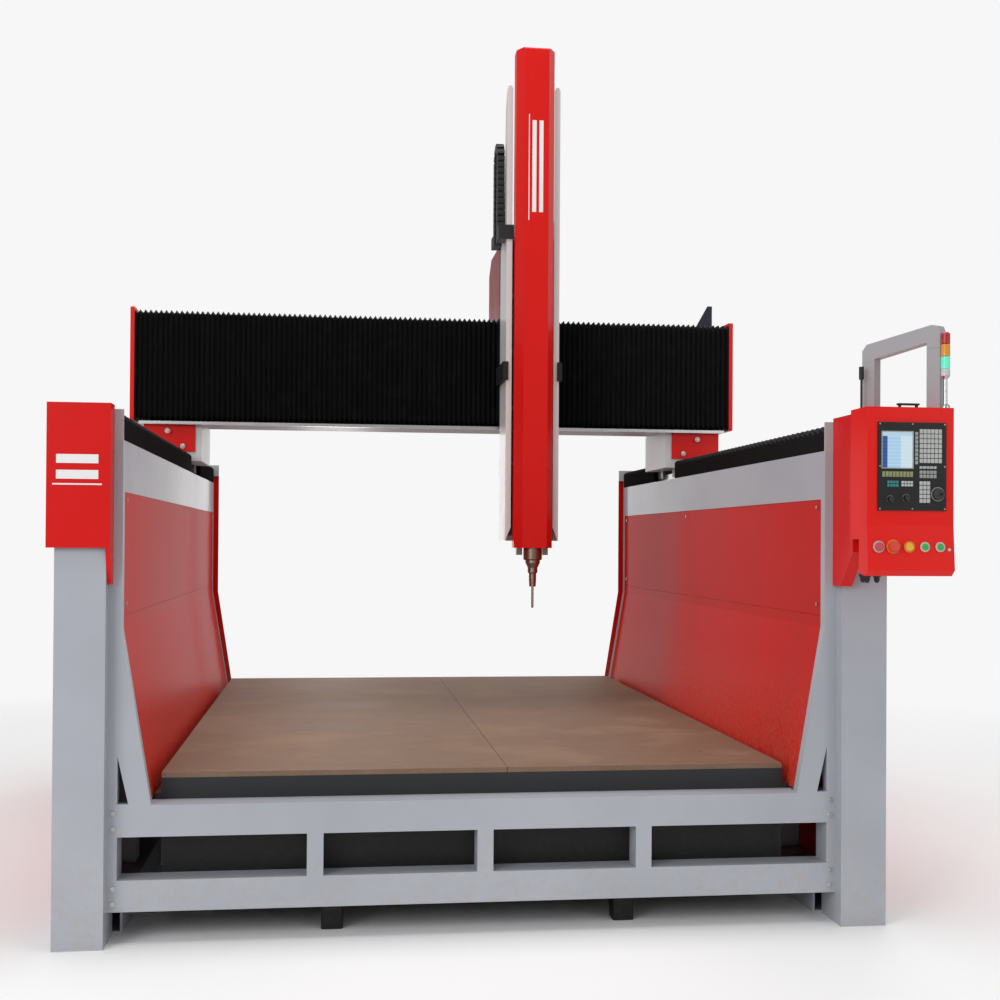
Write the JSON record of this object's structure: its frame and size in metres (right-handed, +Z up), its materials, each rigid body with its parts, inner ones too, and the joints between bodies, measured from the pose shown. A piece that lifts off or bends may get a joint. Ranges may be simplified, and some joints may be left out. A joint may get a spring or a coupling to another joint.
{
  "type": "gantry cnc router",
  "caption": "Gantry CNC router with two walled side frames, a travelling bridge, a vertical ram with spindle, a fixed bed and a swivelling control station.",
  "frame": {"origin": "on the floor under the middle of the bed, at the centre leg's foot", "axes": "+X to the operator's right, +Y away from the operator, +Z up"},
  "size_m": [3.137, 3.815, 3.814],
  "materials": {
    "grey_paint": "semi-gloss powder coat",
    "red_gloss": "gloss paint",
    "red_panel": "satin paint",
    "dark_red": "satin paint",
    "white_paint": "satin paint",
    "black_paint": "satin paint",
    "slab": "dark composite",
    "board": "sanded board",
    "steel": "ground",
    "tool_steel": "bronzed",
    "bellows": "coated cloth",
    "chain": "moulded",
    "motor": "painted",
    "aluminium": "satin",
    "panel": "printed plate",
    "red_cap": "moulded",
    "stop_cap": "moulded",
    "yellow_cap": "moulded",
    "green_cap": "moulded",
    "dial": "moulded",
    "lamp": "stacked lenses"
  },
  "bodies": {
    "frame": {"pillars": "grey_paint", "top_beams": "grey_paint", "side_frames": "grey_paint", "end_braces": "grey_paint", "inner_panels": "red_panel", "outer_panels": "red_panel", "front_lattice": "grey_paint", "back_lattice": "grey_paint", "bed_frame": "black_paint", "bed_legs": "black_paint", "table_slab": "slab", "spoilboard": "board", "cap_left": "red_gloss", "cap_right": "red_gloss", "bellows_bulkheads": "grey_paint", "y_ways": "steel", "y_bellows_front": "bellows", "y_bellows_back": "bellows", "control_arm": "grey_paint"},
    "bridge": {"saddles": "white_paint", "saddle_covers": "red_gloss", "y_guide_blocks": "steel", "y_gearmotors": "motor", "bridge_beam": "white_paint", "bridge_end_plates": "red_gloss", "x_ways": "steel", "bridge_strip": "aluminium", "cable_upstand": "black_paint", "x_bellows_left": "bellows", "x_bellows_right": "bellows"},
    "y_pinion_left": {"y_pinion_left": "steel"},
    "y_pinion_right": {"y_pinion_right": "steel"},
    "carriage": {"carriage_plate": "white_paint", "x_guide_blocks": "steel", "x_gearmotor": "motor", "carriage_housing": "dark_red", "z_guide_blocks": "steel", "ram_shoes": "black_paint", "energy_chain": "chain"},
    "x_pinion": {"x_pinion": "steel"},
    "ram": {"ram_body": "grey_paint", "z_rails": "steel", "z_motor": "motor", "ram_cover": "red_gloss", "spindle_housing": "tool_steel", "chain_anchor_ram": "black_paint"},
    "z_screw": {"z_screw": "steel"},
    "spindle": {"tool_holder": "tool_steel", "cutter": "tool_steel"},
    "control_station": {"control_box": "red_gloss", "control_panel": "panel", "signal_tower": "lamp"},
    "power_off_button": {"power_off_button": "red_cap"},
    "emergency_stop": {"emergency_stop": "stop_cap"},
    "feed_hold_button": {"feed_hold_button": "yellow_cap"},
    "cycle_start_button": {"cycle_start_button": "green_cap"},
    "power_on_button": {"power_on_button": "green_cap"},
    "feed_dial": {"feed_dial": "dial"},
    "spindle_dial": {"spindle_dial": "dial"},
    "handwheel": {"handwheel": "dial"}
  },
  "joints": [
    {"name": "bridge_slide", "type": "slide", "parent": "frame", "child": "bridge", "axis": [0, 1, 0], "range_m": [-1.62, 0.54], "deforming": ["y_bellows_front", "y_bellows_back"]},
    {"name": "carriage_slide", "type": "slide", "parent": "bridge", "child": "carriage", "axis": [1, 0, 0], "range_m": [-1.45, 0.6], "deforming": ["x_bellows_left", "x_bellows_right"]},
    {"name": "ram_slide", "type": "slide", "parent": "carriage", "child": "ram", "axis": [0, 0, 1], "range_m": [-0.44, 0.46], "deforming": ["energy_chain"]},
    {"name": "left_pinion_spin", "type": "hinge", "parent": "bridge", "child": "y_pinion_left", "pos_m": [-1.38, 0.6725, 1.745], "axis": [0, 0, 1], "range_deg": [-2100, 2100]},
    {"name": "right_pinion_spin", "type": "hinge", "parent": "bridge", "child": "y_pinion_right", "pos_m": [1.38, 0.6725, 1.745], "axis": [0, 0, 1], "range_deg": [-2100, 2100]},
    {"name": "carriage_pinion_spin", "type": "hinge", "parent": "carriage", "child": "x_pinion", "pos_m": [0.436, 0.49, 2.37], "axis": [0, 1, 0], "range_deg": [-1900, 1900]},
    {"name": "screw_spin", "type": "hinge", "parent": "ram", "child": "z_screw", "pos_m": [0.436, 0.367, 2.3], "axis": [0, 0, 1], "range_deg": [-8400, 8400]},
    {"name": "spindle_spin", "type": "hinge", "parent": "ram", "child": "spindle", "pos_m": [0.436, 0.065, 1.3], "axis": [0, 0, 1], "continuous": true},
    {"name": "station_swivel", "type": "hinge", "parent": "frame", "child": "control_station", "pos_m": [1.553, -1.965, 2], "axis": [0, 0, 1], "range_deg": [0, 60]},
    {"name": "power_off_button_press", "type": "slide", "parent": "control_station", "child": "power_off_button", "axis": [0, 0.997, -0.0772], "range_m": [0, 0.004], "stiffness_N_per_m": 800, "springref_m": -0.002},
    {"name": "emergency_stop_press", "type": "slide", "parent": "control_station", "child": "emergency_stop", "axis": [0, 0.997, -0.0772], "range_m": [0, 0.004], "stiffness_N_per_m": 800, "springref_m": -0.002},
    {"name": "feed_hold_button_press", "type": "slide", "parent": "control_station", "child": "feed_hold_button", "axis": [0, 0.997, -0.0772], "range_m": [0, 0.004], "stiffness_N_per_m": 800, "springref_m": -0.002},
    {"name": "cycle_start_button_press", "type": "slide", "parent": "control_station", "child": "cycle_start_button", "axis": [0, 0.997, -0.0772], "range_m": [0, 0.004], "stiffness_N_per_m": 800, "springref_m": -0.002},
    {"name": "power_on_button_press", "type": "slide", "parent": "control_station", "child": "power_on_button", "axis": [0, 0.997, -0.0772], "range_m": [0, 0.004], "stiffness_N_per_m": 800, "springref_m": -0.002},
    {"name": "feed_dial_turn", "type": "hinge", "parent": "control_station", "child": "feed_dial", "pos_m": [1.353, -2.041, 1.543], "axis": [0, -1, 0], "range_deg": [-135, 135]},
    {"name": "spindle_dial_turn", "type": "hinge", "parent": "control_station", "child": "spindle_dial", "pos_m": [1.41, -2.041, 1.548], "axis": [0, -1, 0], "range_deg": [-135, 135]},
    {"name": "handwheel_turn", "type": "hinge", "parent": "control_station", "child": "handwheel", "pos_m": [1.523, -2.041, 1.562], "axis": [0, -1, 0], "continuous": true}
  ],
  "couplings": [
    {"joint": "left_pinion_spin", "follows": "bridge_slide", "rad_per_m": 22.222},
    {"joint": "right_pinion_spin", "follows": "bridge_slide", "rad_per_m": -22.222},
    {"joint": "carriage_pinion_spin", "follows": "carriage_slide", "rad_per_m": 22.222},
    {"joint": "screw_spin", "follows": "ram_slide", "rad_per_m": 157.08}
  ]
}
